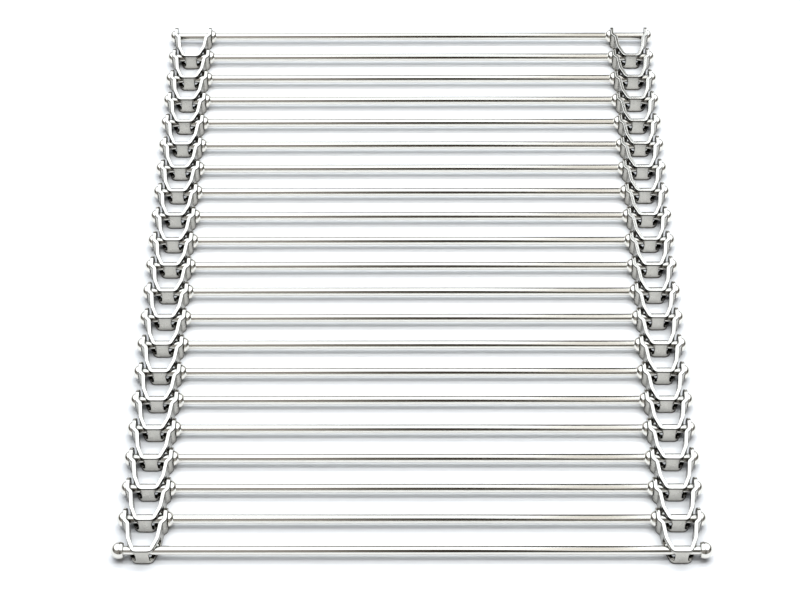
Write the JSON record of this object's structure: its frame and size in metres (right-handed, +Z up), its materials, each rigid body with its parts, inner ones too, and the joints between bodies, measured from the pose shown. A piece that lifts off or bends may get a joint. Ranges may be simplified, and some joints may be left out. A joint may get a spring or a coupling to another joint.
{
  "type": "rod link conveyor belt",
  "caption": "Flat conveyor belt section of cross rods joined at both edges by bent, slotted strip links; it curls over rollers and shortens in its slots.",
  "frame": {"origin": "middle of the belt's underside, on the surface that it lies on", "axes": "+X along the cross rods, +Y along the belt away from its leading end, +Z up"},
  "size_m": [0.2986, 0.3912, 0.0111],
  "materials": {
    "rod_steel": "polished",
    "link_steel": "satin"
  },
  "bodies": {
    "row_01": {"links_01": "link_steel"},
    "row_02": {"left_link_02": "link_steel", "right_link_02": "link_steel"},
    "row_03": {"left_link_03": "link_steel", "right_link_03": "link_steel"},
    "row_04": {"left_link_04": "link_steel", "right_link_04": "link_steel"},
    "row_05": {"left_link_05": "link_steel", "right_link_05": "link_steel"},
    "row_06": {"left_link_06": "link_steel", "right_link_06": "link_steel"},
    "row_07": {"left_link_07": "link_steel", "right_link_07": "link_steel"},
    "row_08": {"left_link_08": "link_steel", "right_link_08": "link_steel"},
    "row_09": {"left_link_09": "link_steel", "right_link_09": "link_steel"},
    "row_10": {"left_link_10": "link_steel", "right_link_10": "link_steel"},
    "row_11": {"left_link_11": "link_steel", "right_link_11": "link_steel"},
    "row_12": {"left_link_12": "link_steel", "right_link_12": "link_steel"},
    "row_13": {"left_link_13": "link_steel", "right_link_13": "link_steel"},
    "row_14": {"left_link_14": "link_steel", "right_link_14": "link_steel"},
    "row_15": {"left_link_15": "link_steel", "right_link_15": "link_steel"},
    "row_16": {"left_link_16": "link_steel", "right_link_16": "link_steel"},
    "row_17": {"left_link_17": "link_steel", "right_link_17": "link_steel"},
    "row_18": {"left_link_18": "link_steel", "right_link_18": "link_steel"},
    "row_19": {"left_link_19": "link_steel", "right_link_19": "link_steel"},
    "row_20": {"left_link_20": "link_steel", "right_link_20": "link_steel"},
    "cross_rod_01": {"rod_01": "rod_steel"},
    "cross_rod_02": {"rod_02": "rod_steel"},
    "cross_rod_03": {"rod_03": "rod_steel"},
    "cross_rod_04": {"rod_04": "rod_steel"},
    "cross_rod_05": {"rod_05": "rod_steel"},
    "cross_rod_06": {"rod_06": "rod_steel"},
    "cross_rod_07": {"rod_07": "rod_steel"},
    "cross_rod_08": {"rod_08": "rod_steel"},
    "cross_rod_09": {"rod_09": "rod_steel"},
    "cross_rod_10": {"rod_10": "rod_steel"},
    "cross_rod_11": {"rod_11": "rod_steel"},
    "cross_rod_12": {"rod_12": "rod_steel"},
    "cross_rod_13": {"rod_13": "rod_steel"},
    "cross_rod_14": {"rod_14": "rod_steel"},
    "cross_rod_15": {"rod_15": "rod_steel"},
    "cross_rod_16": {"rod_16": "rod_steel"},
    "cross_rod_17": {"rod_17": "rod_steel"},
    "cross_rod_18": {"rod_18": "rod_steel"},
    "cross_rod_19": {"rod_19": "rod_steel"},
    "cross_rod_20": {"rod_20": "rod_steel"},
    "cross_rod_21": {"rod_21": "rod_steel"}
  },
  "joints": [
    {"name": "slot_11", "type": "slide", "parent": "row_10", "child": "cross_rod_11", "axis": [0, 1, 0], "range_m": [0, 0.0044]},
    {"name": "turn_11", "type": "hinge", "parent": "cross_rod_11", "child": "row_11", "pos_m": [0, -0.00049, 0.00555], "axis": [1, 0, 0], "range_deg": [-27.7, 27.7]},
    {"name": "slot_12", "type": "slide", "parent": "row_11", "child": "cross_rod_12", "axis": [0, 1, 0], "range_m": [0, 0.0044]},
    {"name": "turn_12", "type": "hinge", "parent": "cross_rod_12", "child": "row_12", "pos_m": [0, -0.01954, 0.00555], "axis": [1, 0, 0], "range_deg": [-27.7, 27.7]},
    {"name": "slot_13", "type": "slide", "parent": "row_12", "child": "cross_rod_13", "axis": [0, 1, 0], "range_m": [0, 0.0044]},
    {"name": "turn_13", "type": "hinge", "parent": "cross_rod_13", "child": "row_13", "pos_m": [0, -0.03859, 0.00555], "axis": [1, 0, 0], "range_deg": [-27.7, 27.7]},
    {"name": "slot_14", "type": "slide", "parent": "row_13", "child": "cross_rod_14", "axis": [0, 1, 0], "range_m": [0, 0.0044]},
    {"name": "turn_14", "type": "hinge", "parent": "cross_rod_14", "child": "row_14", "pos_m": [0, -0.05765, 0.00555], "axis": [1, 0, 0], "range_deg": [-27.7, 27.7]},
    {"name": "slot_15", "type": "slide", "parent": "row_14", "child": "cross_rod_15", "axis": [0, 1, 0], "range_m": [0, 0.0044]},
    {"name": "turn_15", "type": "hinge", "parent": "cross_rod_15", "child": "row_15", "pos_m": [0, -0.07669, 0.00555], "axis": [1, 0, 0], "range_deg": [-27.7, 27.7]},
    {"name": "slot_16", "type": "slide", "parent": "row_15", "child": "cross_rod_16", "axis": [0, 1, 0], "range_m": [0, 0.0044]},
    {"name": "turn_16", "type": "hinge", "parent": "cross_rod_16", "child": "row_16", "pos_m": [0, -0.09574, 0.00555], "axis": [1, 0, 0], "range_deg": [-27.7, 27.7]},
    {"name": "slot_17", "type": "slide", "parent": "row_16", "child": "cross_rod_17", "axis": [0, 1, 0], "range_m": [0, 0.0044]},
    {"name": "turn_17", "type": "hinge", "parent": "cross_rod_17", "child": "row_17", "pos_m": [0, -0.11479, 0.00555], "axis": [1, 0, 0], "range_deg": [-27.7, 27.7]},
    {"name": "slot_18", "type": "slide", "parent": "row_17", "child": "cross_rod_18", "axis": [0, 1, 0], "range_m": [0, 0.0044]},
    {"name": "turn_18", "type": "hinge", "parent": "cross_rod_18", "child": "row_18", "pos_m": [0, -0.13384, 0.00555], "axis": [1, 0, 0], "range_deg": [-27.7, 27.7]},
    {"name": "slot_19", "type": "slide", "parent": "row_18", "child": "cross_rod_19", "axis": [0, 1, 0], "range_m": [0, 0.0044]},
    {"name": "turn_19", "type": "hinge", "parent": "cross_rod_19", "child": "row_19", "pos_m": [0, -0.1529, 0.00555], "axis": [1, 0, 0], "range_deg": [-27.7, 27.7]},
    {"name": "slot_20", "type": "slide", "parent": "row_19", "child": "cross_rod_20", "axis": [0, 1, 0], "range_m": [0, 0.0044]},
    {"name": "turn_20", "type": "hinge", "parent": "cross_rod_20", "child": "row_20", "pos_m": [0, -0.17194, 0.00555], "axis": [1, 0, 0], "range_deg": [-27.7, 27.7]},
    {"name": "slot_21", "type": "slide", "parent": "row_20", "child": "cross_rod_21", "axis": [0, 1, 0], "range_m": [0, 0.0044]},
    {"name": "turn_10", "type": "hinge", "parent": "row_10", "child": "cross_rod_10", "pos_m": [0, 0.01855, 0.00555], "axis": [1, 0, 0], "range_deg": [-27.7, 27.7]},
    {"name": "slot_10", "type": "slide", "parent": "cross_rod_10", "child": "row_09", "axis": [0, -1, 0], "range_m": [0, 0.0044]},
    {"name": "turn_09", "type": "hinge", "parent": "row_09", "child": "cross_rod_09", "pos_m": [0, 0.0376, 0.00555], "axis": [1, 0, 0], "range_deg": [-27.7, 27.7]},
    {"name": "slot_09", "type": "slide", "parent": "cross_rod_09", "child": "row_08", "axis": [0, -1, 0], "range_m": [0, 0.0044]},
    {"name": "turn_08", "type": "hinge", "parent": "row_08", "child": "cross_rod_08", "pos_m": [0, 0.05665, 0.00555], "axis": [1, 0, 0], "range_deg": [-27.7, 27.7]},
    {"name": "slot_08", "type": "slide", "parent": "cross_rod_08", "child": "row_07", "axis": [0, -1, 0], "range_m": [0, 0.0044]},
    {"name": "turn_07", "type": "hinge", "parent": "row_07", "child": "cross_rod_07", "pos_m": [0, 0.0757, 0.00555], "axis": [1, 0, 0], "range_deg": [-27.7, 27.7]},
    {"name": "slot_07", "type": "slide", "parent": "cross_rod_07", "child": "row_06", "axis": [0, -1, 0], "range_m": [0, 0.0044]},
    {"name": "turn_06", "type": "hinge", "parent": "row_06", "child": "cross_rod_06", "pos_m": [0, 0.09476, 0.00555], "axis": [1, 0, 0], "range_deg": [-27.7, 27.7]},
    {"name": "slot_06", "type": "slide", "parent": "cross_rod_06", "child": "row_05", "axis": [0, -1, 0], "range_m": [0, 0.0044]},
    {"name": "turn_05", "type": "hinge", "parent": "row_05", "child": "cross_rod_05", "pos_m": [0, 0.11381, 0.00555], "axis": [1, 0, 0], "range_deg": [-27.7, 27.7]},
    {"name": "slot_05", "type": "slide", "parent": "cross_rod_05", "child": "row_04", "axis": [0, -1, 0], "range_m": [0, 0.0044]},
    {"name": "turn_04", "type": "hinge", "parent": "row_04", "child": "cross_rod_04", "pos_m": [0, 0.13286, 0.00555], "axis": [1, 0, 0], "range_deg": [-27.7, 27.7]},
    {"name": "slot_04", "type": "slide", "parent": "cross_rod_04", "child": "row_03", "axis": [0, -1, 0], "range_m": [0, 0.0044]},
    {"name": "turn_03", "type": "hinge", "parent": "row_03", "child": "cross_rod_03", "pos_m": [0, 0.15191, 0.00555], "axis": [1, 0, 0], "range_deg": [-27.7, 27.7]},
    {"name": "slot_03", "type": "slide", "parent": "cross_rod_03", "child": "row_02", "axis": [0, -1, 0], "range_m": [0, 0.0044]},
    {"name": "turn_02", "type": "hinge", "parent": "row_02", "child": "cross_rod_02", "pos_m": [0, 0.17095, 0.00555], "axis": [1, 0, 0], "range_deg": [-27.7, 27.7]},
    {"name": "slot_02", "type": "slide", "parent": "cross_rod_02", "child": "row_01", "axis": [0, -1, 0], "range_m": [0, 0.0044]},
    {"name": "turn_01", "type": "hinge", "parent": "row_01", "child": "cross_rod_01", "pos_m": [0, 0.19001, 0.00555], "axis": [1, 0, 0], "range_deg": [-27.7, 27.7]}
  ]
}
